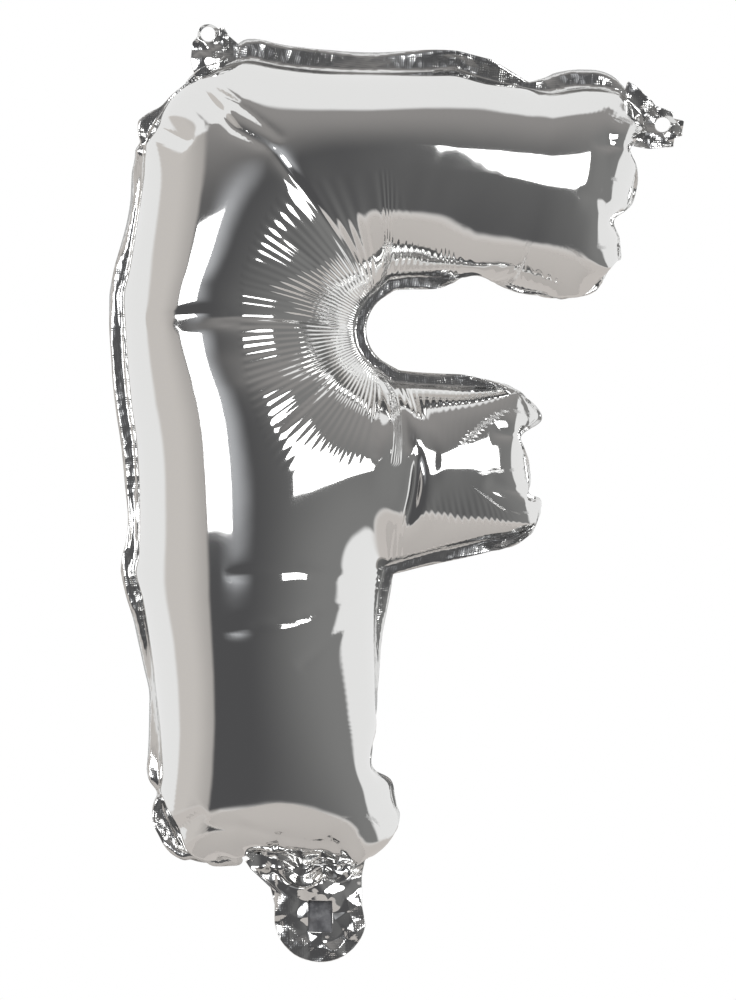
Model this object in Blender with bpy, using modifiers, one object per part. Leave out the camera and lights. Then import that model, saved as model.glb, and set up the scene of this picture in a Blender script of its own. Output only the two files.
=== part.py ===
"""A letter F foil balloon, blown up with air and hung by its corner tabs.

Two sheets of metallised film are welded to each other along a narrow margin that follows the letter.
The front sheet bulges to -Y and the back sheet to +Y.  A tail at the foot of the stem holds the valve,
and an eyelet tab at each upper corner takes the hanging ribbon.
The origin is the centre of the left eyelet, +X points to the tips of the arms and +Z points up.
"""

import math

import bmesh
import bpy
from mathutils import Matrix, Vector

MM = 0.001

# Film and weld
FILM = 1.0 * MM
WELD_GAP = 0.3 * MM
MARGIN = 6.0 * MM
SHOULDER = 4.0 * MM
SHOULDER_RISE = 13.0 * MM

# The inflated letter's weld line, as points across (x) and down (z) in millimetres from the left eyelet.
# Each row runs from the left edge of the letter to its right edge.
WELD_ROWS_MM = [
    [(-20, -23), (22, -14), (66, -16), (105, -17), (143, -20), (184, -22)],
    [(-32, -64), (16, -64), (68, -63), (107, -62), (145, -62), (183, -62)],
    [(-39, -110), (15, -110), (66, -112), (107, -104), (139, -106), (172, -112)],
    [(-40, -142), (15, -142), (66, -144), (110, -150), (141, -154)],
    [(-36, -184), (17, -184), (70, -185), (107, -185), (142, -184)],
    [(-38, -228), (19, -230), (72, -232), (110, -222), (143, -213)],
    [(-25, -290), (23, -290), (73, -290)],
    [(-16, -356), (28, -358), (72, -356)],
]
CELLS_ACROSS = [2, 2, 2, 2, 2]
CELLS_DOWN = [2, 2, 2, 2, 2, 3, 3]

# How far the sheet stands from the weld plane at each of those points, in millimetres.  The stem is nearly
# round, and each arm flattens towards the weld at its end.
DEPTH_ROWS_MM = [
    [0, 0, 0, 0, 0, 0],
    [0, 44, 45, 39, 32, 0],
    [0, 44, 0, 0, 0, 0],
    [0, 49, 0, 0, 0],
    [0, 54, 38, 20, 0],
    [0, 55, 0, 0, 0],
    [0, 46, 0],
    [0, 0, 0],
]
ROUNDNESS = 5.0

# Eyelet tabs at the upper corners
EYELET_HOLE = 3.2 * MM
TAB_FOOT_DEPTH = 26.0 * MM
LEFT_TAB_END = 4.7 * MM
LEFT_TAB_FOOT = (-9.0 * MM, 16.0 * MM)
RIGHT_EYELET = (196.5 * MM, -39.0 * MM)
RIGHT_TAB_END = 8.5 * MM
RIGHT_TAB_FOOT = (-17.0 * MM, 17.0 * MM)
RIGHT_TAB_TURN = math.radians(-96.0)

# Filling tail and its valve
TAIL_CENTRE = (48.5 * MM, -381.0 * MM)
TAIL_END = 20.0 * MM
TAIL_ROOT = 30.0 * MM
TAIL_ROOT_HALF = 24.0 * MM
VALVE_WIDTH = 11.0 * MM
VALVE_HEIGHT = 14.5 * MM
VALVE_FILM = 0.9 * MM

FOIL_SILVER = (0.80, 0.80, 0.80)
VALVE_GREY = (0.55, 0.56, 0.57)


def clear_scene():
    """Removes what a new Blender file holds."""
    for old in list(bpy.data.objects):
        bpy.data.objects.remove(old)


def new_collection(name):
    made = bpy.data.collections.new(name)
    bpy.context.scene.collection.children.link(made)
    return made


def new_material(name, colour, roughness, metallic):
    made = bpy.data.materials.new(name)
    made.use_nodes = True
    shader = made.node_tree.nodes["Principled BSDF"]
    shader.inputs["Base Color"].default_value = (*colour, 1.0)
    shader.inputs["Roughness"].default_value = roughness
    shader.inputs["Metallic"].default_value = metallic
    return made


def in_letter(column, row):
    """Whether the grid cell at this column and row belongs to the letter."""
    stem = sum(CELLS_ACROSS[:2])
    middle_arm = sum(CELLS_ACROSS[:4])
    if column < stem or row < sum(CELLS_DOWN[:2]):
        return True
    return column < middle_arm and sum(CELLS_DOWN[:3]) <= row < sum(CELLS_DOWN[:5])


def cell_of(u, w):
    """The table cell at u columns across and w rows down, and the place in it as two shares from 0 to 1."""
    column = next(i for i in range(len(CELLS_ACROSS)) if u <= sum(CELLS_ACROSS[: i + 1]))
    row = next(i for i in range(len(CELLS_DOWN)) if w <= sum(CELLS_DOWN[: i + 1]))
    across = (u - sum(CELLS_ACROSS[:column])) / CELLS_ACROSS[column]
    down = (w - sum(CELLS_DOWN[:row])) / CELLS_DOWN[row]
    return row, column, across, down


def weld_point(u, w):
    """The point of the inflated letter at u columns across and w rows down, between the weld points."""
    row, column, across, down = cell_of(u, w)
    top, bottom = WELD_ROWS_MM[row], WELD_ROWS_MM[row + 1]
    right = min(column + 1, len(top) - 1, len(bottom) - 1)
    upper = Vector(top[column]).lerp(Vector(top[right]), across)
    lower = Vector(bottom[column]).lerp(Vector(bottom[right]), across)
    return upper.lerp(lower, down) * MM


def sheet_depth(u, w):
    """How far the sheet stands from the weld plane there.  It rises steeply from the weld, then rounds off."""
    row, column, across, down = cell_of(u, w)
    top, bottom = DEPTH_ROWS_MM[row], DEPTH_ROWS_MM[row + 1]
    right = min(column + 1, len(top) - 1, len(bottom) - 1)
    upper = top[column] ** ROUNDNESS * (1 - across) + top[right] ** ROUNDNESS * across
    lower = bottom[column] ** ROUNDNESS * (1 - across) + bottom[right] ** ROUNDNESS * across
    return (upper * (1 - down) + lower * down) ** (1 / ROUNDNESS) * MM


def outward(bm):
    """For each boundary vertex, the direction in the weld plane that leads away from the letter."""
    found = {}
    for edge in bm.edges:
        if not edge.is_boundary:
            continue
        a, b = edge.verts
        along = (b.co - a.co).normalized()
        side = Vector((along.z, 0.0, -along.x))
        if side.dot(edge.link_faces[0].calc_center_median() - a.co) > 0.0:
            side = -side
        for vertex in (a, b):
            found[vertex] = found.get(vertex, Vector()) + side
    return {vertex: side.normalized() for vertex, side in found.items()}


def extrude_rim(bm, distance):
    """Widens the letter by one row of faces along its whole outline."""
    away = outward(bm)
    rim = [edge for edge in bm.edges if edge.is_boundary]
    grown = bmesh.ops.extrude_edge_only(bm, edges=rim)["geom"]
    new_vertices = [item for item in grown if isinstance(item, bmesh.types.BMVert)]
    moves = {}
    for vertex in new_vertices:
        root = next(edge.other_vert(vertex) for edge in vertex.link_edges if edge.other_vert(vertex) in away)
        moves[vertex] = away[root] * distance
    for vertex, move in moves.items():
        vertex.co += move
    return new_vertices


def letter_cage(margin):
    """The front sheet's coarse cage: the letter's grid, swelled towards -Y, with its shoulder and margin."""
    across, down = sum(CELLS_ACROSS), sum(CELLS_DOWN)
    bm = bmesh.new()
    bmesh.ops.create_grid(bm, x_segments=across, y_segments=down, size=1.0)
    place = {v: (round((v.co.x + 1) / 2 * across), round((1 - v.co.y) / 2 * down)) for v in bm.verts}
    outside = []
    for face in bm.faces:
        column = min(place[v][0] for v in face.verts)
        row = min(place[v][1] for v in face.verts)
        if not in_letter(column, row):
            outside.append(face)
    bmesh.ops.delete(bm, geom=outside, context="FACES")
    depth = {v: max(sheet_depth(*place[v]), SHOULDER_RISE) for v in bm.verts if v in place}
    for vertex in bm.verts:
        x, z = weld_point(*place[vertex])
        vertex.co = Vector((x, 0.0, z))
    for vertex, side in outward(bm).items():
        vertex.co -= side * SHOULDER
    seam_vertices = extrude_rim(bm, SHOULDER)
    for vertex in seam_vertices:
        vertex.co.y = -WELD_GAP / 2
    extrude_rim(bm, margin)
    for vertex, reach in depth.items():
        vertex.co.y = -reach
    bmesh.ops.recalc_face_normals(bm, faces=bm.faces)
    return bm


def sheet_of_film(name, side, collection, material):
    """One sheet of the envelope.  side is -1 for the front and +1 for the back."""
    bm = letter_cage(MARGIN)
    if side > 0:
        bmesh.ops.scale(bm, vec=(1.0, -1.0, 1.0), verts=bm.verts)
        bmesh.ops.reverse_faces(bm, faces=bm.faces)
    probe = max(bm.faces, key=lambda face: abs(face.calc_center_median().y))
    if probe.normal.y * side < 0.0:
        bmesh.ops.reverse_faces(bm, faces=bm.faces)
    mesh = bpy.data.meshes.new(name)
    bm.to_mesh(mesh)
    bm.free()
    sheet = bpy.data.objects.new(name, mesh)
    collection.objects.link(sheet)
    smooth = sheet.modifiers.new("Inflated form", "SUBSURF")
    smooth.levels = 1
    smooth.render_levels = 1
    wall = sheet.modifiers.new("Film", "SOLIDIFY")
    wall.thickness = FILM
    wall.offset = 1.0
    mesh.materials.append(material)
    mesh.shade_smooth()
    return sheet


def margin_block(cutters):
    """A cutter that trims the tabs and the tail along the margin, one weld gap away from it."""
    bm = letter_cage(MARGIN + WELD_GAP)
    bmesh.ops.scale(bm, vec=(1.0, 0.0, 1.0), verts=bm.verts)
    mesh = bpy.data.meshes.new("margin_block")
    bm.to_mesh(mesh)
    bm.free()
    block = bpy.data.objects.new("margin_block", mesh)
    cutters.objects.link(block)
    smooth = block.modifiers.new("Inflated form", "SUBSURF")
    smooth.levels = 1
    smooth.render_levels = 1
    wall = block.modifiers.new("Depth", "SOLIDIFY")
    wall.thickness = 10.0 * MM
    wall.offset = 0.0
    block.hide_render = True
    block.display_type = "WIRE"
    return block


def arc(centre, radius, first, last, steps):
    """Points of a circular arc, with both ends, from the first angle to the last in degrees."""
    points = []
    for step in range(steps + 1):
        angle = math.radians(first + (last - first) * step / steps)
        points.append((centre[0] + radius * math.cos(angle), centre[1] + radius * math.sin(angle)))
    return points


def plate(name, outlines, thickness, middle_y, collection, material, cutter=None):
    """A flat plate in the weld plane.  The first outline is its edge and the others are holes."""
    curve = bpy.data.curves.new(name, "CURVE")
    curve.dimensions = "2D"
    curve.fill_mode = "BOTH"
    curve.extrude = thickness / 2
    for outline in outlines:
        spline = curve.splines.new("POLY")
        spline.points.add(len(outline) - 1)
        spline.use_cyclic_u = True
        for point, (x, z) in zip(spline.points, outline):
            point.co = (x, z, 0.0, 1.0)
    made = bpy.data.objects.new(name, curve)
    collection.objects.link(made)
    made.rotation_euler = (math.radians(90.0), 0.0, 0.0)
    made.location = (0.0, middle_y, 0.0)
    curve.materials.append(material)
    if cutter is None:
        return made
    return trimmed(made, cutter, collection)


def trimmed(curve_object, cutter, collection):
    """The same plate as a mesh, with the cutter taken away."""
    bpy.context.view_layer.update()
    seen = curve_object.evaluated_get(bpy.context.evaluated_depsgraph_get())
    mesh = bpy.data.meshes.new_from_object(seen)
    bm = bmesh.new()
    bm.from_mesh(mesh)
    bmesh.ops.remove_doubles(bm, verts=bm.verts, dist=0.00001)
    bm.to_mesh(mesh)
    bm.free()
    name = curve_object.name
    place = curve_object.matrix_world.copy()
    bpy.data.objects.remove(curve_object)
    made = bpy.data.objects.new(name, mesh)
    made.matrix_world = place
    collection.objects.link(made)
    cut = made.modifiers.new("Trim along the margin", "BOOLEAN")
    cut.operation = "DIFFERENCE"
    cut.object = cutter
    return made


def eyelet_tab(name, centre, radius, foot, turn, collection, material, cutter):
    """A tab with a round end about its punched hole.  foot holds its root's reach to each side."""
    end = arc((0.0, 0.0), radius, 0.0, 180.0, 12)
    outline = end + [(foot[0], -TAB_FOOT_DEPTH), (foot[1], -TAB_FOOT_DEPTH)]
    hole = arc((0.0, 0.0), EYELET_HOLE, 360.0, 18.0, 19)
    spin = Matrix.Rotation(turn, 2)
    placed = []
    for ring in (outline, hole):
        placed.append([tuple(spin @ Vector(point) + Vector(centre)) for point in ring])
    thickness = 2 * FILM + WELD_GAP
    return plate(name, placed, thickness, 0.0, collection, material, cutter)


def tail_outline():
    """The filling tail: a round end below, and a flared root where it leaves the letter's foot."""
    x, z = TAIL_CENTRE
    end = arc(TAIL_CENTRE, TAIL_END, 180.0, 360.0, 16)
    return end + [(x + TAIL_ROOT_HALF, z + TAIL_ROOT), (x - TAIL_ROOT_HALF, z + TAIL_ROOT)]


def rectangle(centre, width, height):
    x, z = centre
    return [
        (x - width / 2, z - height / 2),
        (x + width / 2, z - height / 2),
        (x + width / 2, z + height / 2),
        (x - width / 2, z + height / 2),
    ]


def build():
    clear_scene()
    balloon = new_collection("letter_foil_balloon")
    foil = new_material("metallised_film", FOIL_SILVER, 0.12, 1.0)
    clear_film = new_material("valve_film", VALVE_GREY, 0.3, 0.0)

    sheet_of_film("foil_front", -1, balloon, foil)
    sheet_of_film("foil_back", 1, balloon, foil)

    block = margin_block(new_collection("cutters"))
    left, right = "hang_tab_left", "hang_tab_right"
    eyelet_tab(left, (0.0, 0.0), LEFT_TAB_END, LEFT_TAB_FOOT, 0.0, balloon, foil, block)
    eyelet_tab(right, RIGHT_EYELET, RIGHT_TAB_END, RIGHT_TAB_FOOT, RIGHT_TAB_TURN, balloon, foil, block)

    half_layer = (FILM + WELD_GAP) / 2
    window = rectangle(TAIL_CENTRE, VALVE_WIDTH, VALVE_HEIGHT)
    plate("tail_front", [tail_outline(), window], FILM, -half_layer, balloon, foil, block)
    plate("tail_back", [tail_outline()], FILM, half_layer, balloon, foil, block)
    valve = rectangle(TAIL_CENTRE, VALVE_WIDTH - 2 * WELD_GAP, VALVE_HEIGHT - 2 * WELD_GAP)
    plate("valve_film", [valve], VALVE_FILM, -WELD_GAP / 2 - VALVE_FILM / 2, balloon, clear_film)


build()
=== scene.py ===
import math
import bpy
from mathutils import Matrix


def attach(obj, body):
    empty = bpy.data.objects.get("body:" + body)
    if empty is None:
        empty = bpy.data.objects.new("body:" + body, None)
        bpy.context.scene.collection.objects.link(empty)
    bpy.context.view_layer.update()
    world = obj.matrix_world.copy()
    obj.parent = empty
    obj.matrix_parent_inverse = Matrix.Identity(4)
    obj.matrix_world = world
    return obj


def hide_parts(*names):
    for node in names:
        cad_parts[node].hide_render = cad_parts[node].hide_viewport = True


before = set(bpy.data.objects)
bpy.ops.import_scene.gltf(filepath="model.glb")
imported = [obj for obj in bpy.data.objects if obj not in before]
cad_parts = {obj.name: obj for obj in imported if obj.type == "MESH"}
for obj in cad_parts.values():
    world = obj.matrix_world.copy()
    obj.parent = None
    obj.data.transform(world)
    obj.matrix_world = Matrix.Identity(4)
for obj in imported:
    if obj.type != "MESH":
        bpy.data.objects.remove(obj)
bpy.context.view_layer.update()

from types import SimpleNamespace

import bpy
import numpy as np
from mathutils import Vector, noise

MM = 0.001

# The envelope's flat cut
# Two sheets of metallised nylon film are laid on each other, welded flat and cut out along the letter.
# Blown up, each limb draws in by a third, so the flat cut is wider and more splayed than the balloon.
# The points in CUT_ROWS_MM began as a least-squares fit of the blown-up outline to the photo's, made by a
# program that isn't kept here.  They were then moved by hand, by 6 mm on average.
STEM_WIDTH, MIDDLE_REACH, TOP_REACH = 144, 204, 234
TOP_DEPTH, MIDDLE_TOP, MIDDLE_FOOT, HEIGHT = 114, 156, 240, 360
NET_COLUMNS = [0, STEM_WIDTH, MIDDLE_REACH, TOP_REACH]
NET_ROWS = [0, TOP_DEPTH, MIDDLE_TOP, MIDDLE_FOOT, HEIGHT]
CUT_ROWS_MM = [
    [(-33, 3), (104, 14), (148, 9), (199, 15)],
    [(-56, -110), (96, -112), (151, -103), (198, -103)],
    [(-59, -168), (98, -147), (157, -157), (199, -155)],
    [(-61, -237), (95, -246), (162, -223), (199, -224)],
    [(-34, -379), (73, -381), (134, -381), (169, -381)],
]
CORNERS = [
    (0, 0, 1, 1, 52),
    (TOP_REACH, 0, -1, 1, 30),
    (TOP_REACH, TOP_DEPTH, -1, -1, 30),
    (MIDDLE_REACH, MIDDLE_TOP, -1, 1, 15),
    (MIDDLE_REACH, MIDDLE_FOOT, -1, -1, 18),
    (STEM_WIDTH, HEIGHT, -1, -1, 22),
    (0, HEIGHT, 1, -1, 40),
]
NOTCH_ROUND = 17.0
NOTCH_FADE = 90.0
MARGIN_ALONG_LEFT = [(0, 2.5), (16, 3), (28, 7), (40, 3), (58, 6), (318, 6), (332, 2.5), (346, 7), (HEIGHT, 7)]
MARGIN_ALONG_FOOT = [(0, 7), (14, 6), (20, 2.5), (26, 6), (44, 6), (50, 2.5), (60, 6), (72, 5), (92, 2), (144, 2)]
MARGIN_ALONG_TOP = [(0, 2.5), (10, 7), (20, 3), (38, 9.5), (165, 9.5), (190, 3), (206, 9), (222, 8), (TOP_REACH, 6)]
WELD_MARGIN = 6.0
MARGIN_AT_LOBES = 2.0

# The pinches at the ends
# The cut ends of the limbs are too long for the round tubes that they close, so the weld there runs in and
# out, and the film stands in lobes between the pinches.  For places along an end this gives how far behind
# the middle plane the weld lies and how far the film reaches beyond the straight end, all in millimetres.
TOP_END = [
    (0, 2, 0), (9, 7, 5), (17, 0, 0), (24, 5, 3), (34, -4, -4), (53, 10, 10),
    (69, -4, -4), (84, 8, 6), (95, -4, -3), (105, 7, 5), (114, 3, 0),
]
TOP_UNDERSIDE = [(168, 0, 0), (184, -4, -2), (202, 8, 6), (218, 3, 0)]
MIDDLE_END = [(156, 3, 2), (167, 8, 8), (185, -3, -4), (203, 9, 7), (219, -3, -3), (230, 7, 8), (240, 0, 2)]
STEM_SIDE = [(300, 0, 0), (314, -4, -2), (328, 6, 8), (345, 8, 10), (358, 4, 7)]
STEM_END = [
    (0, 0, 0), (12, -4, -1), (22, 4, 3), (36, 6, 3), (50, -5, -3), (62, 4, 0), (72, -4, -3),
    (80, 3, 0), (92, 6, 6), (104, 2, -1), (114, 4, 2), (124, -4, -1), (136, 6, 3), (144, 5, 0),
]
LOBE_FADE = 26.0


def lobe_values(lobes, along, column):
    """The depth (column 1) or the reach (column 2) of the lobes at these places along an end."""
    table = np.array(lobes, float)
    at = np.interp(along, table[:, 0], np.arange(len(table)))
    before = np.clip(at.astype(int), 0, len(table) - 2)
    share = at - before
    share = share * share * (3 - 2 * share)
    inside = (along >= table[0, 0]) & (along <= table[-1, 0])
    return (table[before, column] * (1 - share) + table[before + 1, column] * share) * inside


def near_end(distance):
    """How much of a lobe's reach is felt this far from the end."""
    return np.clip(1 - distance / LOBE_FADE, 0, 1) ** 1.5 * (distance >= 0)


def cut_place(across, down):
    """Where a point of the square net lies in the flat cut, in millimetres from the left eyelet."""
    x, z = across.copy(), down.copy()
    for corner_x, corner_z, sign_x, sign_z, radius in CORNERS:
        u = 1 - (across - corner_x) * sign_x / radius
        v = 1 - (down - corner_z) * sign_z / radius
        near = (u >= 0) & (u <= 1) & (v >= 0) & (v <= 1)
        u, v = u[near], v[near]
        x[near] = corner_x + sign_x * radius * (1 - u * np.sqrt(1 - v * v / 2))
        z[near] = corner_z + sign_z * radius * (1 - v * np.sqrt(1 - u * u / 2))
    table = np.array(CUT_ROWS_MM, float)
    i = np.clip(np.searchsorted(NET_ROWS, z, side="right") - 1, 0, 3)
    j = np.clip(np.searchsorted(NET_COLUMNS, x, side="right") - 1, 0, 2)
    rows, columns = np.array(NET_ROWS, float), np.array(NET_COLUMNS, float)
    fz = ((z - rows[i]) / (rows[i + 1] - rows[i]))[..., None]
    fx = ((x - columns[j]) / (columns[j + 1] - columns[j]))[..., None]
    upper = table[i, j] * (1 - fx) + table[i, j + 1] * fx
    lower = table[i + 1, j] * (1 - fx) + table[i + 1, j + 1] * fx
    flat = upper * (1 - fz) + lower * fz
    half = (MIDDLE_TOP - TOP_DEPTH) / 2
    level = (down - TOP_DEPTH) / half - 1
    notch = np.sqrt(np.clip(1 - level**2, 0, 1)) * np.clip(1 - (STEM_WIDTH - across) / NOTCH_FADE, 0, 1)
    flat[..., 0] -= NOTCH_ROUND * notch * (across <= STEM_WIDTH)
    in_top, in_middle = down <= TOP_DEPTH, (down >= MIDDLE_TOP) & (down <= MIDDLE_FOOT)
    flat[..., 0] += lobe_values(TOP_END, down, 2) * near_end(TOP_REACH - across) * in_top
    flat[..., 0] += lobe_values(MIDDLE_END, down, 2) * near_end(MIDDLE_REACH - across) * in_middle
    flat[..., 0] += lobe_values(STEM_SIDE, down, 2) * near_end(STEM_WIDTH - across)
    flat[..., 1] -= lobe_values(TOP_UNDERSIDE, across, 2) * near_end(TOP_DEPTH - down)
    flat[..., 1] -= lobe_values(STEM_END, across, 2) * near_end(HEIGHT - down)
    return flat


# The film as a net
# Film can't stretch, so each sheet is a net of cells whose sides and diagonals keep the length that they
# have in the flat cut.  The two sheets share the nodes on the weld, and the margin is a strip outside it.
def seam_loop(cells):
    """The rows and columns of the nodes on the weld, clockwise from the top left corner."""
    framed = np.pad(cells, 1)
    after = {}
    for i, j in np.argwhere(cells).tolist():
        if not framed[i, j + 1]:
            after[(i, j)] = (i, j + 1)
        if not framed[i + 1, j + 2]:
            after[(i, j + 1)] = (i + 1, j + 1)
        if not framed[i + 2, j + 1]:
            after[(i + 1, j + 1)] = (i + 1, j)
        if not framed[i + 1, j]:
            after[(i + 1, j)] = (i, j)
    loop = [(0, 0)]
    while after[loop[-1]] != loop[0]:
        loop.append(after[loop[-1]])
    return np.array(loop)


def cell_pairs(cells, sheet):
    """Neighbours in one sheet that a link joins, in sets that hold no node twice."""
    i, j = np.nonzero(cells)
    directions = [
        (1, [(0, 0, 0, 1), (1, 0, 1, 1)]),
        (0, [(0, 0, 1, 0), (0, 1, 1, 1)]),
        (0, [(0, 0, 1, 1)]),
        (0, [(0, 1, 1, 0)]),
    ]
    found = []
    for axis, sides in directions:
        ends = [np.stack([i + a, j + b, i + c, j + d], 1) for a, b, c, d in sides]
        ends = np.unique(np.concatenate(ends), axis=0)
        for odd in (0, 1):
            chosen = ends[ends[:, axis] % 2 == odd]
            found.append((sheet[chosen[:, 0], chosen[:, 1]], sheet[chosen[:, 2], chosen[:, 3]]))
    return found


def weave_net(step, margin_rows):
    """The flat cut as a net with cells of this size in millimetres."""
    columns, rows = round(TOP_REACH / step), round(HEIGHT / step)
    x = (np.arange(columns) + 0.5) * step
    z = ((np.arange(rows) + 0.5) * step)[:, None]
    middle_arm = (z > MIDDLE_TOP) & (z < MIDDLE_FOOT) & (x < MIDDLE_REACH)
    cells = (x < STEM_WIDTH) | (z < TOP_DEPTH) | middle_arm
    framed = np.pad(cells, 1)
    around = np.stack([framed[:-1, :-1], framed[:-1, 1:], framed[1:, :-1], framed[1:, 1:]])
    used, inner = around.any(0), around.all(0)
    front = np.where(used, np.cumsum(used).reshape(used.shape) - 1, -1)
    back = np.where(inner, used.sum() + np.cumsum(inner).reshape(inner.shape) - 1, front)
    down, across = np.mgrid[0 : rows + 1, 0 : columns + 1] * float(step)
    flat_grid = cut_place(across, down)
    flat = np.zeros((used.sum() + inner.sum(), 2))
    flat[front[used]] = flat_grid[used]
    flat[back[inner]] = flat_grid[inner]

    loop = seam_loop(cells)
    seam = front[loop[:, 0], loop[:, 1]]
    span = round(9 / step)
    along = np.roll(flat[seam], -span, 0) - np.roll(flat[seam], span, 0)
    along /= np.linalg.norm(along, axis=1)[:, None]
    outward = np.stack([-along[:, 1], along[:, 0]], 1)
    row, column = loop[:, 0] * step, loop[:, 1] * step
    width = np.where(column == 0, np.interp(row, *np.array(MARGIN_ALONG_LEFT).T), WELD_MARGIN)
    width = np.where(row == 0, np.interp(column, *np.array(MARGIN_ALONG_TOP).T), width)
    width = np.where(row == HEIGHT, np.interp(column, *np.array(MARGIN_ALONG_FOOT).T), width)
    lobed = (column >= TOP_REACH) | ((row == TOP_DEPTH) & (column > 175))
    lobed |= (column >= MIDDLE_REACH) & (row >= MIDDLE_TOP) & (row <= MIDDLE_FOOT)
    lobed |= (column >= STEM_WIDTH) & (row > 305)
    width = np.where(lobed, MARGIN_AT_LOBES, width)
    margin = [seam]
    for row in range(1, margin_rows + 1):
        margin.append(len(flat) + np.arange(len(seam)))
        reach = (width * row / margin_rows)[:, None]
        flat = np.concatenate([flat, flat[seam] + outward * reach])
    margin = np.array(margin)
    following = np.roll(margin, -1, 1)

    pairs = cell_pairs(cells, front) + cell_pairs(cells, back)
    for row in range(1, margin_rows + 1):
        pairs += [(margin[row, ::2], following[row, ::2]), (margin[row, 1::2], following[row, 1::2])]
        pairs += [(margin[row - 1], margin[row]), (margin[row - 1], following[row])]
        pairs += [(following[row - 1], margin[row])]
    links = [(a, b, np.linalg.norm(flat[a] - flat[b], axis=1)) for a, b in pairs]

    bends = []
    for sheet in (front, back):
        for a, b, c in (
            (sheet[:, :-2], sheet[:, 1:-1], sheet[:, 2:]),
            (sheet[:-2], sheet[1:-1], sheet[2:]),
        ):
            middle = inner[:, 1:-1] if a.shape[0] == inner.shape[0] else inner[1:-1]
            whole = middle & (a >= 0) & (c >= 0)
            bends.append((a[whole], b[whole], c[whole]))
    for row in margin:
        bends.append((np.roll(row, 1), row, np.roll(row, -1)))

    i, j = np.nonzero(cells)
    quads = []
    for sheet, order in ((front, (0, 3, 2, 1)), (back, (0, 1, 2, 3))):
        corners = [sheet[i, j], sheet[i, j + 1], sheet[i + 1, j + 1], sheet[i + 1, j]]
        quads.append(np.stack([corners[k] for k in order], 1))
    strip = [margin[:-1], following[:-1], following[1:], margin[1:]]
    strip = np.stack([side.ravel() for side in strip], 1)
    return SimpleNamespace(
        step=step, front=front, back=back, flat=flat, loop=loop * step, margin=margin,
        links=links, bends=bends, quads=quads, strip=strip,
    )


def refine(coarse, places, fine):
    """The shape that a net has, on a net of half the cell size."""
    made = np.zeros((len(fine.flat), 3))
    for old, new in ((coarse.front, fine.front), (coarse.back, fine.back)):
        grid = np.full((*new.shape, 3), np.nan)
        grid[::2, ::2] = np.where(old[..., None] >= 0, places[old], np.nan)
        grid[::2, 1::2] = (grid[::2, :-1:2] + grid[::2, 2::2]) / 2
        grid[1::2] = (grid[:-1:2] + grid[2::2]) / 2
        made[new[new >= 0]] = grid[new >= 0]
    rows, count = coarse.margin.shape
    strip = np.zeros((2 * rows - 1, 2 * count, 3))
    strip[::2, ::2] = places[coarse.margin]
    strip[::2, 1::2] = (strip[::2, ::2] + np.roll(strip[::2, ::2], -1, 1)) / 2
    strip[1::2] = (strip[:-1:2] + strip[2::2]) / 2
    made[fine.margin[1:]] = strip[1:]
    return made


# Blowing it up
# Air pushes each cell outwards along its normal, and the links pull back.  While the net is coarse, a link
# hardly resists being shortened, since thin film puckers at once, and this gives the smooth inflated letter.
CALM = 0.985
SLACK = 0.03


def inflate(net, places, steps, push, stiffness, last_give, hold=None):
    """Lets the air act for a number of steps.  give is how hard a link resists being shortened, 0 to 1."""
    speed = np.zeros_like(places)
    for count in range(steps):
        force = np.zeros_like(places)
        for quads in net.quads:
            one = places[quads[:, 2]] - places[quads[:, 0]]
            other = places[quads[:, 3]] - places[quads[:, 1]]
            normal = np.cross(one, other)
            for k in range(4):
                force[quads[:, k]] += normal
        ramp = min(1.0, 10 * (count + 1) / steps)
        speed = speed * CALM + force * (push * ramp / (8 * net.step**2))
        for a, b, c in net.bends:
            curl = stiffness * (places[a] - 2 * places[b] + places[c])
            speed[b] += 2 * curl
            speed[a] -= curl
            speed[c] -= curl
        if hold is not None:
            speed[hold[0], 1] += HOLD_PULL * (hold[1] - places[hold[0], 1])
        before = places.copy()
        places = places + speed
        give = SLACK + (last_give - SLACK) * min(1.0, 3 * count / steps)
        for a, b, rest in net.links:
            gap = places[b] - places[a]
            pull = 0.5 - 0.5 * rest / np.sqrt(np.einsum("ij,ij->i", gap, gap))
            pull = np.where(pull < 0, pull * give, pull)
            move = pull[:, None] * gap
            places[a] += move
            places[b] -= move
        speed = places - before
    return places


HOLD_PULL = 0.1


def pinched_weld(net):
    """The nodes of the weld at the limbs' ends, and the depth that each is drawn to."""
    down, across = net.loop[:, 0], net.loop[:, 1]
    nodes, depths = [], []
    for lobes, along, at_end in (
        (TOP_END, down, across >= TOP_REACH),
        (TOP_UNDERSIDE, across, (down == TOP_DEPTH) & (across >= 168) & (across <= 218)),
        (MIDDLE_END, down, (across >= MIDDLE_REACH) & (down >= MIDDLE_TOP) & (down <= MIDDLE_FOOT)),
        (STEM_SIDE, down, (across >= STEM_WIDTH) & (down >= 300) & (down <= 358)),
        (STEM_END, across, down >= HEIGHT),
    ):
        nodes.append(net.margin[0][at_end])
        depths.append(lobe_values(lobes, along[at_end], 1))
    return np.concatenate(nodes), np.concatenate(depths)


chance = np.random.default_rng(5)
net = weave_net(6, 1)
places = np.zeros((len(net.flat), 3))
places[:, [0, 2]] = net.flat
places[net.front[net.front >= 0], 1] = -2.0
places[net.back[net.back >= 0], 1] = 2.0
places[net.margin[0], 1] = 0.0
places += chance.normal(0, 0.2, places.shape)
places = inflate(net, places, 220, 0.008, 0.02, SLACK)
places = inflate(net, places, 120, 0.003, 0.02, SLACK)
finer = weave_net(3, 2)
places, net = refine(net, places, finer), finer
places = inflate(net, places, 150, 0.0022, 0.01, SLACK, pinched_weld(net))
finer = weave_net(1.5, 4)
places, net = refine(net, places, finer), finer
places = inflate(net, places, 120, 0.0015, 0.004, SLACK, pinched_weld(net))

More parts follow.
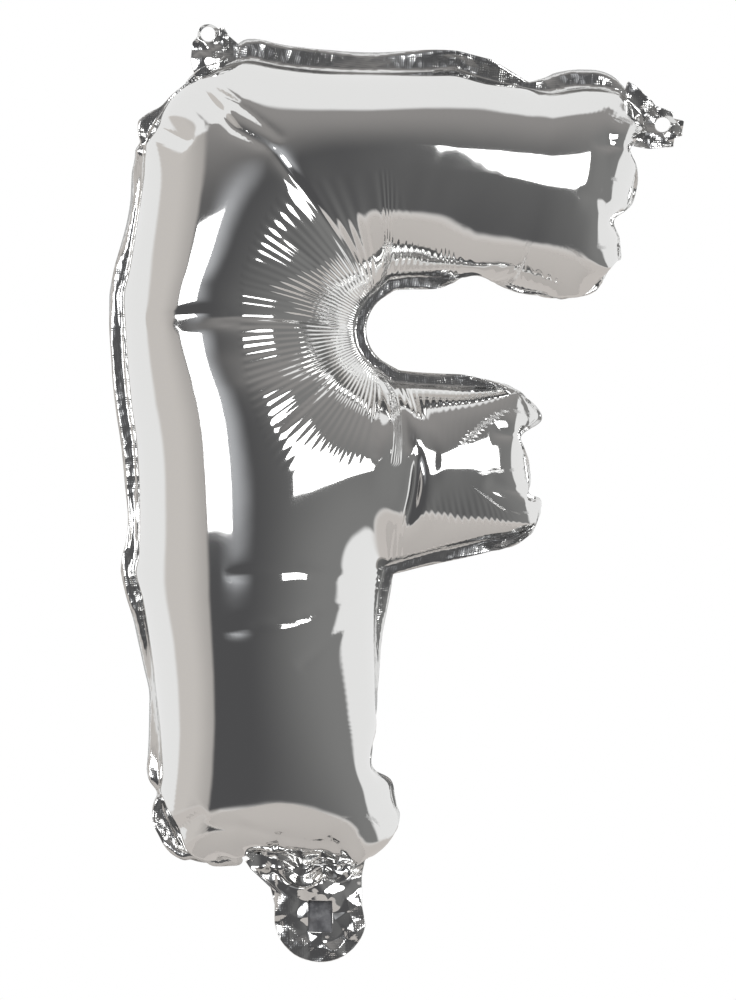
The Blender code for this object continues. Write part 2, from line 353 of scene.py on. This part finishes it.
# The creases
# Where the tube turns round the notch and into the arms, its inner side has too much film, which lies in a
# few sharp creases that run out from the notch, and each pinch of the weld starts a short one.  For each:
# its depth, its width and its points, in millimetres from the left eyelet.
CREASES = [
    (4.0, 5.0, [(-14, -8), (-5, -22), (8, -38)]),
    (4.0, 5.0, [(-34, -32), (-22, -40), (-6, -50)]),
    (2.0, 1.8, [(-6, -22), (12, -44), (29, -54)]),
    (1.4, 1.6, [(-2, -22), (20, -38), (34, -50)]),
    (2.4, 2.2, [(28, -53), (44, -74), (58, -92), (71, -110)]),
    (1.0, 2.2, [(33, -91), (48, -102)]),
    (2.2, 2.2, [(-24, -125), (-1, -123), (40, -124), (59, -129)]),
    (0.9, 2.0, [(-14, -128), (5, -126), (22, -128)]),
    (1.6, 2.2, [(31, -171), (47, -156), (61, -143)]),
    (1.6, 2.2, [(71, -152), (73, -168), (72, -184)]),
    (1.4, 2.2, [(81, -156), (85, -168), (87, -181)]),
    (1.2, 2.2, [(72, -236), (40, -231), (9, -233)]),
    (1.4, 2.2, [(72, -238), (40, -251), (8, -257)]),
    (1.0, 2.2, [(70, -243), (52, -262), (40, -272)]),
    (3.0, 3.0, [(143, -12), (143, -24), (144, -34)]),
    (1.6, 2.5, [(175, -24), (171, -52), (170, -76), (169, -98)]),
    (2.5, 3.0, [(192, -49), (180, -49), (166, -50)]),
    (2.5, 3.0, [(190, -76), (180, -76), (160, -72)]),
    (1.4, 2.5, [(136, -153), (137, -176), (137, -202)]),
    (2.5, 3.0, [(148, -174), (138, -174), (122, -172)]),
    (2.5, 3.0, [(148, -199), (138, -198), (120, -194)]),
    (1.3, 2.5, [(-8, -340), (14, -340), (40, -347), (64, -350)]),
    (2.5, 3.0, [(-22, -350), (-12, -342), (0, -334)]),
    (3.0, 3.5, [(12, -368), (13, -352), (18, -338)]),
    (3.0, 3.0, [(30, -370), (30, -354), (32, -342)]),
    (2.5, 3.0, [(60, -368), (58, -354), (52, -344)]),
]
KEPT_DEPTH = 0.4


def press_creases(places):
    """Folds both sheets inwards along the creases, by no more than leaves them apart."""
    x, z = places[:, 0], places[:, 2]
    for depth, width, points in CREASES:
        lengths = [math.dist(a, b) for a, b in zip(points, points[1:])]
        nearest = np.full(len(places), 1e9)
        share = np.zeros(len(places))
        passed = 0.0
        for (ax, az), (bx, bz), length in zip(points, points[1:], lengths):
            along = np.clip(((x - ax) * (bx - ax) + (z - az) * (bz - az)) / length**2, 0, 1)
            gap = np.hypot(x - ax - along * (bx - ax), z - az - along * (bz - az))
            share = np.where(gap < nearest, (passed + along * length) / sum(lengths), share)
            nearest = np.minimum(nearest, gap)
            passed += length
        taper = np.sqrt(np.clip(4 * share * (1 - share), 0, 1))
        pressed = depth * taper * np.exp(-nearest / width)
        pressed = np.minimum(pressed, (1 - KEPT_DEPTH) * np.abs(places[:, 1]))
        places[:, 1] -= np.sign(places[:, 1]) * pressed
    return places


places = press_creases(places)

# The fine puckers beside the weld
# Where the weld bends inwards or closes a limb, the film next to it is gathered into fine ridges that run
# square to the weld.  They are finer than the net, so the film's bump draws them along a second UV map, which
# holds the place along the weld and the distance from it, where an attribute says how strong they are.
PUCKER_NEAR = 5.0
PUCKER_REACH, NOTCH_PUCKER_REACH = 34.0, 84.0
PUCKER_PITCH, NOTCH_PUCKER_PITCH = 2.8, 0.8
BLEND_ALONG_WELD, WIDE_BLEND = 0.3, 2.5
MIXED_RIDGES = 36.0


def smoothed_round(values, count):
    """The values of a closed loop, each averaged with its neighbours."""
    window = np.hanning(count)
    half = count // 2
    wrapped = np.concatenate([values[-half:], values, values[:half]])
    return np.convolve(wrapped, window / window.sum(), "valid")


def seam_places(net, own):
    """For these nodes: how many ridges along the weld, the distance from it, and the ridges' strength."""
    down, across = net.loop[:, 0], net.loop[:, 1]
    notch = (across == STEM_WIDTH) & (down >= TOP_DEPTH) & (down <= MIDDLE_TOP)
    strength = np.full(len(down), 0.06)
    strength[(down == TOP_DEPTH) & (across > STEM_WIDTH) & (across < 215)] = 0.8
    strength[(down == MIDDLE_TOP) & (across > STEM_WIDTH) & (across < 185)] = 0.9
    strength[(down == MIDDLE_FOOT) & (across > STEM_WIDTH) & (across < 185)] = 0.7
    strength[(across == STEM_WIDTH) & (down > MIDDLE_FOOT) & (down < 300)] = 0.8
    strength[notch] = 1.0
    strength = smoothed_round(strength, 25)
    at_notch = smoothed_round(notch.astype(float), 13)
    pitch = PUCKER_PITCH + (NOTCH_PUCKER_PITCH - PUCKER_PITCH) * at_notch
    reach = PUCKER_REACH + (NOTCH_PUCKER_REACH - PUCKER_REACH) * at_notch
    seam = net.flat[net.margin[0]]
    sides = np.linalg.norm(np.roll(seam, -1, 0) - seam, axis=1)
    ridges = np.concatenate([[0.0], np.cumsum(sides / pitch)[:-1]])
    found = np.empty((len(own), 3))
    for start in range(0, len(own), 4000):
        part = slice(start, start + 4000)
        gap = np.sqrt(((net.flat[own[part]][:, None] - seam) ** 2).sum(2))
        distance = gap.min(1)
        weights = np.exp(-(gap - distance[:, None]) / BLEND_ALONG_WELD)
        weights /= weights.sum(1)[:, None]
        fade = np.clip(distance / PUCKER_NEAR, 0, 1) * np.clip(1.6 - 1.6 * distance / (weights @ reach), 0, 1)
        about = np.exp(-(gap - distance[:, None]) / WIDE_BLEND)
        about /= about.sum(1)[:, None]
        spread = np.sqrt(np.maximum(about @ ridges**2 - (about @ ridges) ** 2, 0))
        fade *= np.clip((MIXED_RIDGES - spread) / (MIXED_RIDGES / 2), 0, 1)
        found[part] = np.stack([weights @ ridges, distance, (weights @ strength) * fade], 1)
    return found.T


# The metallised film
# Nylon film with aluminium evaporated onto it: a true mirror, with the faint waviness of thin film.
FILM_WALL = 0.10


def linear(hex_colour):
    """A #rrggbb colour as the linear values that a shader takes."""
    parts = [int(hex_colour[k : k + 2], 16) / 255 for k in (1, 3, 5)]
    return [p / 12.92 if p <= 0.04045 else ((p + 0.055) / 1.055) ** 2.4 for p in parts] + [1.0]


def add_node(tree, kind, settings=None, inputs=None):
    """Adds a node with its settings.  An input is a value or another node's output socket."""
    made = tree.nodes.new(kind)
    for name, value in (settings or {}).items():
        setattr(made, name, value)
    for name, value in (inputs or {}).items():
        if isinstance(value, bpy.types.NodeSocket):
            tree.links.new(value, made.inputs[name])
        else:
            made.inputs[name].default_value = value
    return made


def new_material(name):
    made = bpy.data.materials.new(name)
    made.use_nodes = True
    return made, made.node_tree, made.node_tree.nodes["Principled BSDF"]


PUCKER_HEIGHT = 0.20


def mirror_film():
    """The film where it is smooth, with the fine puckers beside the weld."""
    made, tree, shader = new_material("metallised_nylon_film")
    shader.inputs["Base Color"].default_value = linear("#eeeeed")
    shader.inputs["Metallic"].default_value = 1.0
    shader.inputs["Roughness"].default_value = 0.06
    where = add_node(tree, "ShaderNodeTexCoord")
    waves = add_node(
        tree, "ShaderNodeTexNoise", inputs={"Vector": where.outputs["UV"], "Scale": 90.0, "Detail": 1.0}
    )
    soft_waves = add_node(
        tree,
        "ShaderNodeBump",
        inputs={"Height": waves.outputs[0], "Strength": 0.10, "Distance": 0.4 * MM},
    )
    seam = add_node(tree, "ShaderNodeUVMap", {"uv_map": "seam"})
    ridges = add_node(
        tree,
        "ShaderNodeTexWave",
        {"bands_direction": "X"},
        {"Vector": seam.outputs["UV"], "Scale": 0.314, "Distortion": 1.5, "Detail": 1.0},
    )
    strength = add_node(tree, "ShaderNodeAttribute", {"attribute_name": "puckers"})
    gathered = add_node(
        tree, "ShaderNodeMath", {"operation": "MULTIPLY"}, {0: ridges.outputs[1], 1: strength.outputs["Fac"]}
    )
    bump = add_node(
        tree,
        "ShaderNodeBump",
        inputs={
            "Height": gathered.outputs[0],
            "Strength": 1.0,
            "Distance": PUCKER_HEIGHT * MM,
            "Normal": soft_waves.outputs["Normal"],
        },
    )
    tree.links.new(bump.outputs["Normal"], shader.inputs["Normal"])
    return made


def welded_film():
    """The film under the heated jaws: their fine crossed ribs are pressed into it, and it crinkles.
    The real ribs are 0.5 mm apart, and are drawn at 1 mm so that they show."""
    made, tree, shader = new_material("heat_welded_film")
    shader.inputs["Base Color"].default_value = linear("#e6e6e5")
    shader.inputs["Metallic"].default_value = 1.0
    shader.inputs["Roughness"].default_value = 0.13
    where = add_node(tree, "ShaderNodeTexCoord")
    ribs = []
    for direction in ("X", "Y"):
        ribs.append(
            add_node(
                tree,
                "ShaderNodeTexWave",
                {"bands_direction": direction},
                {"Vector": where.outputs["UV"], "Scale": 0.314 / (1.0 * MM), "Distortion": 0.6},
            )
        )
    both = add_node(
        tree, "ShaderNodeMath", {"operation": "MULTIPLY"}, {0: ribs[0].outputs[0], 1: ribs[1].outputs[0]}
    )
    facets = add_node(
        tree, "ShaderNodeTexVoronoi", inputs={"Vector": where.outputs["UV"], "Scale": 1 / (4.0 * MM)}
    )
    crinkle = add_node(
        tree,
        "ShaderNodeBump",
        inputs={"Height": facets.outputs["Distance"], "Strength": 0.5, "Distance": 0.6 * MM},
    )
    bump = add_node(
        tree,
        "ShaderNodeBump",
        inputs={
            "Height": both.outputs[0],
            "Strength": 0.5,
            "Distance": 0.05 * MM,
            "Normal": crinkle.outputs["Normal"],
        },
    )
    tree.links.new(bump.outputs["Normal"], shader.inputs["Normal"])
    return made


film, weld = mirror_film(), welded_film()


# The front and the back sheet
# Each is one piece of film with its half of the welded margin, and the two lie face to face in the margin.
def film_sheet(name, quads, strip, node_name):
    """One sheet of the envelope as a mesh with a thin wall that grows outwards."""
    faces = np.concatenate([quads, strip])
    own, faces = np.unique(faces, return_inverse=True)
    faces = faces.reshape(-1, 4)
    mesh = bpy.data.meshes.new(name)
    mesh.from_pydata((places[own] * MM).tolist(), [], faces.tolist())
    mesh.materials.append(film)
    mesh.materials.append(weld)
    is_margin = np.arange(len(faces)) >= len(quads)
    mesh.polygons.foreach_set("material_index", is_margin.astype(np.int32))
    layer = mesh.uv_layers.new(name="cut")
    layer.data.foreach_set("uv", (net.flat[own][faces.ravel()] * MM).ravel())
    ridges, distance, strength = seam_places(net, own)
    seam = np.stack([ridges, distance * MM], 1)
    mesh.uv_layers.new(name="seam").data.foreach_set("uv", seam[faces.ravel()].ravel())
    mesh.attributes.new("puckers", "FLOAT", "POINT").data.foreach_set("value", strength)
    mesh.shade_smooth()
    sheet = bpy.data.objects.new(name, mesh)
    bpy.context.scene.collection.objects.link(sheet)
    bpy.ops.object.select_all(action="DESELECT")
    sheet.select_set(True)
    bpy.context.view_layer.objects.active = sheet
    wall = sheet.modifiers.new("Film", "SOLIDIFY")
    wall.thickness = FILM_WALL * MM
    wall.offset = 1.0
    bpy.ops.object.modifier_apply(modifier=wall.name)
    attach(sheet, "root")
    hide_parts(node_name)
    return sheet


front_sheet = film_sheet("film_front", net.quads[0], net.strip, "foil_front")
back_sheet = film_sheet("film_back", net.quads[1], net.strip[:, ::-1], "foil_back")


# The hanging tabs
# Each upper corner of the cut runs out into a tab of both sheets, welded flat and punched with an eyelet.
# The tabs are small and get creased, so they show facets.  Outlines are in millimetres from the eyelet.
TAB_WALL = 0.12
LEFT_EYELET = (0.0, 0.0)
RIGHT_EYELET = (196.5, -39.0)
EYELET_RADIUS = 3.2
LEFT_OUTLINE = [
    (9.0, -0.6), (6.6, 3.1), (4.3, 2.3), (3.0, 3.4), (1.0, 4.4), (-1.4, 4.2), (-3.4, 3.0), (-4.4, 1.0),
    (-4.5, -1.6), (-6.7, -3.7), (-7.4, -11.2), (-5.5, -19.0), (12.0, -18.0), (14.0, -5.0),
]
RIGHT_OUTLINE = [
    (9.1, 1.4), (4.5, 2.7), (4.5, 5.4), (-3.0, 8.2), (-4.7, 10.5), (-11.4, 16.7), (-15.0, 19.0),
    (-18.0, 10.0), (-17.0, -3.0), (-12.7, -9.4), (-5.5, -10.4), (4.7, -9.6), (5.0, -6.0), (8.3, -5.0),
]
LEFT_CREASES = [(62, 7.0, 0.9, 0.2), (118, 9.0, 1.0, 0.6), (8, 6.0, 0.6, 0.1)]
RIGHT_CREASES = [(40, 9.0, 1.1, 0.3), (132, 11.0, 1.0, 0.8), (85, 6.5, 0.5, 0.4)]


def outline_reach(outline, angles):
    """How far an outline is from its centre in each direction."""
    a = np.array(outline)
    b = np.roll(a, -1, 0)
    reach = np.full(len(angles), 0.0)
    for (ax, az), (bx, bz) in zip(a, b):
        turn = np.cos(angles) * (bz - az) - np.sin(angles) * (bx - ax)
        turn = np.where(np.abs(turn) < 1e-9, 1e-9, turn)
        out = (ax * (bz - az) - az * (bx - ax)) / turn
        along = (ax * np.sin(angles) - az * np.cos(angles)) / turn
        reach = np.where((out > 0) & (along >= -1e-6) & (along <= 1 + 1e-6), np.maximum(reach, out), reach)
    return reach


def creased(x, z, creases):
    """Depth of a creased sheet: sharp folds that run in a few directions and waver."""
    depth = np.zeros_like(x)
    waver = np.array([noise.noise_vector((a / 7, b / 7, 0.5)) for a, b in zip(x.ravel(), z.ravel())])
    x, z = x + 2.5 * waver[:, 0].reshape(x.shape), z + 2.5 * waver[:, 1].reshape(z.shape)
    for direction, spacing, height, start in creases:
        turn = math.radians(direction)
        phase = (x * math.cos(turn) + z * math.sin(turn)) / spacing + start
        depth += height * (4 * np.abs(phase - np.floor(phase) - 0.5) - 1)
    return depth


def joined_to_margin(x, y, z, fade):
    """The same depths, led onto the margin where the piece leaves it."""
    edge = places[net.margin].reshape(-1, 3)
    joined = y.copy()
    for k in range(len(x)):
        gap = np.hypot(x[k][:, None] - edge[:, 0], z[k][:, None] - edge[:, 2])
        weights = np.exp(-((gap / 2.5) ** 2)) + 1e-30
        near = (weights * edge[:, 1]).sum(1) / weights.sum(1)
        share = np.clip((gap.min(1) - 0.8) / fade, 0, 1)
        share = share * share * (3 - 2 * share)
        joined[k] = y[k] * share + near * (1 - share)
    return joined


def film_patch(name, centre, outline, hole, rows, depth, wall, welded):
    """A small piece of film about a hole.  hole is an outline too, or None, and depth gives y from x and z."""
    count = 180
    angles = np.arange(count) * 2 * math.pi / count
    inner = outline_reach(hole, angles) if hole else np.full(count, 0.15)
    share = (np.arange(rows + 1) / rows)[:, None]
    reach = inner + (outline_reach(outline, angles) - inner) * share
    x, z = centre[0] + reach * np.cos(angles), centre[1] + reach * np.sin(angles)
    y = depth(x, z)
    grid = np.arange(x.size).reshape(x.shape)
    following = np.roll(grid, -1, 1)
    quads = np.stack([grid[:-1], following[:-1], following[1:], grid[1:]], -1).reshape(-1, 4).tolist()
    if hole is None:
        quads.append(grid[0, ::-1].tolist())
    spots = np.stack([x, y, z], -1).reshape(-1, 3)
    mesh = bpy.data.meshes.new(name)
    mesh.from_pydata((spots * MM).tolist(), [], quads)
    mesh.materials.append(film)
    mesh.materials.append(weld)
    layer = mesh.uv_layers.new(name="cut")
    for face in mesh.polygons:
        face.material_index = int(welded(face.center.x / MM, face.center.z / MM))
        for corner in face.loop_indices:
            spot = spots[mesh.loops[corner].vertex_index]
            layer.data[corner].uv = (spot[0] * MM, spot[2] * MM)
    mesh.shade_smooth()
    patch = bpy.data.objects.new(name, mesh)
    bpy.context.scene.collection.objects.link(patch)
    bpy.ops.object.select_all(action="DESELECT")
    patch.select_set(True)
    bpy.context.view_layer.objects.active = patch
    solid = patch.modifiers.new("Film", "SOLIDIFY")
    solid.thickness = wall * MM
    solid.offset = 0.0
    bpy.ops.object.modifier_apply(modifier=solid.name)
    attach(patch, "root")
    return patch


def ring(radius, sides):
    turns = [2 * math.pi * k / sides for k in range(sides)]
    return [(radius * math.cos(turn), radius * math.sin(turn)) for turn in turns]


def hanging_tab(name, centre, outline, creases, node_name):
    def depth(x, z):
        return joined_to_margin(x, creased(x - centre[0], z - centre[1], creases), z, 14.0)

    tab = film_patch(name, centre, outline, ring(EYELET_RADIUS, 40), 26, depth, TAB_WALL, lambda x, z: True)
    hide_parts(node_name)
    return tab


hanging_tab("tab_left", LEFT_EYELET, LEFT_OUTLINE, LEFT_CREASES, "hang_tab_left")
hanging_tab("tab_right", RIGHT_EYELET, RIGHT_OUTLINE, RIGHT_CREASES, "hang_tab_right")

# The filling tail
# Both sheets run down past the foot as a tail with a round, welded end.  Air still puffs its upper part,
# and the front sheet has a window where the flat valve shows.
TAIL_CENTRE = (48.5, -381.0)
TAIL_RADIUS = 20.0
TAIL_UPPER = [
    (18.0, 5.0), (18.0, 18.0), (20.0, 26.0), (8.5, 22.0), (-8.8, 22.0), (-28.0, 27.0), (-33.0, 23.0),
    (-26.9, 17.2), (-21.6, 12.6), (-19.7, 5.0),
]
WINDOW_HALF = (5.2, 6.9)
TAIL_CREASES = [(75, 12.0, 0.55, 0.3), (18, 14.0, 0.5, 0.7), (128, 10.0, 0.4, 0.1)]
PUFF_DEPTH = 5.0
PUFF_MIDDLE = -365.0
PUFF_REACH = 13.0


def tail_outline():
    turns = [math.radians(turn) for turn in range(188, 353, 8)]
    return TAIL_UPPER + [(TAIL_RADIUS * math.cos(turn), TAIL_RADIUS * math.sin(turn)) for turn in turns]


def tail_sheet(name, side, hole, node_name):
    """One sheet of the tail.  side is -1 in front and 1 behind."""

    def depth(x, z):
        y = creased(x, z, TAIL_CREASES) + side * 0.12
        across = np.clip(1 - ((x - TAIL_CENTRE[0] + 1.0) / 19.0) ** 2, 0, 1)
        puff = np.exp(-(((z - PUFF_MIDDLE) / PUFF_REACH) ** 2))
        fold = 1 + 0.35 * np.cos((x - TAIL_CENTRE[0] + 0.35 * (z - PUFF_MIDDLE)) / 3.1)
        y = y + side * PUFF_DEPTH * across * puff * fold
        return joined_to_margin(x, y, z, 5.0)

    def welded(x, z):
        return z < -372.0 and math.hypot(x - TAIL_CENTRE[0], z - TAIL_CENTRE[1]) > 12.5

    sheet = film_patch(name, TAIL_CENTRE, tail_outline(), hole, 44, depth, FILM_WALL, welded)
    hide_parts(node_name)
    return sheet


window = [(WINDOW_HALF[0] * a, WINDOW_HALF[1] * b) for a, b in ((1, 1), (-1, 1), (-1, -1), (1, -1))]
tail_sheet("tail_sheet_front", -1, window, "tail_front")
tail_sheet("tail_sheet_back", 1, None, "tail_back")


# The valve
# A flat tube of grey polythene film between the two sheets, which closes itself once the straw is out.
def valve_polythene():
    """Thin cloudy grey film: soft gloss, with darker streaks where its two walls touch."""
    made, tree, shader = new_material("grey_polythene_film")
    where = add_node(tree, "ShaderNodeTexCoord")
    streaks = add_node(
        tree,
        "ShaderNodeTexNoise",
        inputs={"Vector": where.outputs["Object"], "Scale": 1 / (5.0 * MM), "Detail": 3.0},
    )
    ramp = add_node(tree, "ShaderNodeValToRGB", inputs={0: streaks.outputs[0]})
    for point, (position, colour) in zip(
        ramp.color_ramp.elements, ((0.35, linear("#6c6d71")), (0.7, linear("#a3a4a8")))
    ):
        point.position = position
        point.color = colour
    bump = add_node(
        tree,
        "ShaderNodeBump",
        inputs={"Height": streaks.outputs[0], "Strength": 0.5, "Distance": 0.6 * MM},
    )
    tree.links.new(ramp.outputs["Color"], shader.inputs["Base Color"])
    tree.links.new(bump.outputs["Normal"], shader.inputs["Normal"])
    shader.inputs["Roughness"].default_value = 0.28
    return made


VALVE_HALF = (6.0, 8.2)


def valve_depth(x, z):
    return creased(x, z, TAIL_CREASES) + 0.05 * np.cos(x)


valve_outline = [(VALVE_HALF[0] * a, VALVE_HALF[1] * b) for a, b in ((1, 1), (-1, 1), (-1, -1), (1, -1))]
valve = film_patch(
    "valve", TAIL_CENTRE, valve_outline, None, 20, valve_depth, 0.08, lambda x, z: False
)
valve.data.materials.clear()
valve.data.materials.append(valve_polythene())
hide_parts("valve_film")

# The light and the camera
# The balloon hangs in a white sweep, which is all that the camera sees behind it.  The mirror shows the rest:
# the dark room behind the camera, a grey wall to its left, the pale floor and two soft boxes.  The room is
# laid out by how far a mirror would be turned from the camera, across and up, to show that part of it.
SWEEP, WALL, FLOOR = (0.88, 0.88, 0.88), (0.62, 0.59, 0.565), (0.60, 0.565, 0.54)
ROOM, CEILING, GLOW = (0.085, 0.085, 0.088), (0.30, 0.29, 0.284), (0.50, 0.51, 0.53)
WALL_END, ROOM_END = (0.42, 0.40, 0.385), (0.22, 0.22, 0.218)


def studio_world():
    world = bpy.data.worlds.new("studio")
    bpy.context.scene.world = world
    world.use_nodes = True
    tree = world.node_tree
    tree.nodes.clear()
    where = add_node(tree, "ShaderNodeTexCoord")
    halfway = add_node(
        tree, "ShaderNodeVectorMath", {"operation": "SUBTRACT"}, {0: where.outputs["Generated"], 1: (0, 1, 0)}
    )
    turned = add_node(tree, "ShaderNodeVectorMath", {"operation": "NORMALIZE"}, {0: halfway.outputs[0]})
    split = add_node(tree, "ShaderNodeSeparateXYZ", inputs={0: turned.outputs[0]})
    across, up = split.outputs["X"], split.outputs["Z"]

    def rises(value, start, end):
        return add_node(
            tree,
            "ShaderNodeMapRange",
            {"interpolation_type": "SMOOTHSTEP"},
            {"Value": value, "From Min": start, "From Max": end},
        ).outputs[0]

    def both(one, other):
        return add_node(tree, "ShaderNodeMath", {"operation": "MULTIPLY"}, {0: one, 1: other}).outputs[0]

    def laid_over(below, share, colour):
        above = (*colour, 1.0) if isinstance(colour, tuple) else colour
        mixed = add_node(tree, "ShaderNodeMix", {"data_type": "RGBA"}, {"Factor": share, 6: below, 7: above})
        return mixed.outputs[2]

    def region(left, right, foot, top, soft):
        sides = both(rises(across, left - soft, left + soft), rises(across, right + soft, right - soft))
        return both(sides, both(rises(up, foot - soft, foot + soft), rises(up, top + soft, top - soft)))

    room = laid_over((*ROOM, 1.0), rises(across, -0.1, 0.62), ROOM_END)
    room = laid_over(room, rises(up, 0.10, 0.52), CEILING)
    wall = laid_over((*WALL, 1.0), rises(across, -0.60, -0.34), WALL_END)
    seen = laid_over((*SWEEP, 1.0), rises(up, -0.38, -0.50), FLOOR)
    seen = laid_over(seen, region(-0.74, -0.30, -0.46, 0.44, 0.02), wall)
    seen = laid_over(seen, region(-0.39, 0.68, -0.44, 0.56, 0.02), room)
    seen = laid_over(seen, region(-0.24, -0.10, -0.06, 0.22, 0.09), GLOW)
    path = add_node(tree, "ShaderNodeLightPath")
    seen = laid_over(seen, path.outputs["Is Camera Ray"], (1.0, 1.0, 1.0))
    background = add_node(tree, "ShaderNodeBackground", inputs={"Color": seen})
    add_node(tree, "ShaderNodeOutputWorld", inputs={"Surface": background.outputs[0]})


def soft_box(name, azimuth, height, distance, width, tall, power, middle):
    """A soft box that faces the balloon's middle from an azimuth and a height in degrees."""
    light = bpy.data.lights.new(name, "AREA")
    light.shape = "RECTANGLE"
    light.size = width
    light.size_y = tall
    light.energy = power
    made = bpy.data.objects.new(name, light)
    bpy.context.scene.collection.objects.link(made)
    turn, rise = math.radians(azimuth), math.radians(height)
    away = Vector((math.sin(turn) * math.cos(rise), -math.cos(turn) * math.cos(rise), math.sin(rise)))
    made.location = middle + away * distance
    made.rotation_euler = (-away).to_track_quat("-Z", "Y").to_euler()
    return made


PHOTO_MM_PER_PIXEL = 0.432
EYELET_PIXEL = (208, 34)
PICTURE_PIXELS = (736, 1000)
CAMERA_DISTANCE = 1.6
middle = Vector(
    (
        (PICTURE_PIXELS[0] / 2 - EYELET_PIXEL[0]) * PHOTO_MM_PER_PIXEL * MM,
        0.0,
        -(PICTURE_PIXELS[1] / 2 - EYELET_PIXEL[1]) * PHOTO_MM_PER_PIXEL * MM,
    )
)
studio_world()
soft_box("soft_box_left", -35, 9, 1.5, 0.60, 0.72, 5, middle)
soft_box("soft_box_right", 36, 12, 1.6, 0.80, 0.66, 6, middle)

camera_data = bpy.data.cameras.new("camera")
camera = bpy.data.objects.new("camera", camera_data)
bpy.context.scene.collection.objects.link(camera)
camera.location = middle + Vector((0.0, -CAMERA_DISTANCE, 0.0))
camera.rotation_euler = (math.radians(90.0), 0.0, 0.0)
camera_data.sensor_fit = "VERTICAL"
camera_data.sensor_height = 24.0
picture_height = PICTURE_PIXELS[1] * PHOTO_MM_PER_PIXEL * MM
camera_data.lens = camera_data.sensor_height * CAMERA_DISTANCE / picture_height
bpy.context.scene.camera = camera
bpy.context.scene.view_settings.view_transform = "Standard"

# The floor
# A round table with a pale warm top, well below the hanging balloon.
bpy.ops.object.select_all(action="DESELECT")
bpy.ops.mesh.primitive_circle_add(vertices=96, radius=0.75, fill_type="NGON", location=(0.07, 0.0, -1.25))
floor = bpy.context.object
floor.name = "studio_table"
made, tree, shader = new_material("pale_matt_paint")
shader.inputs["Base Color"].default_value = linear("#d8d3cf")
shader.inputs["Roughness"].default_value = 0.8
floor.data.materials.append(made)
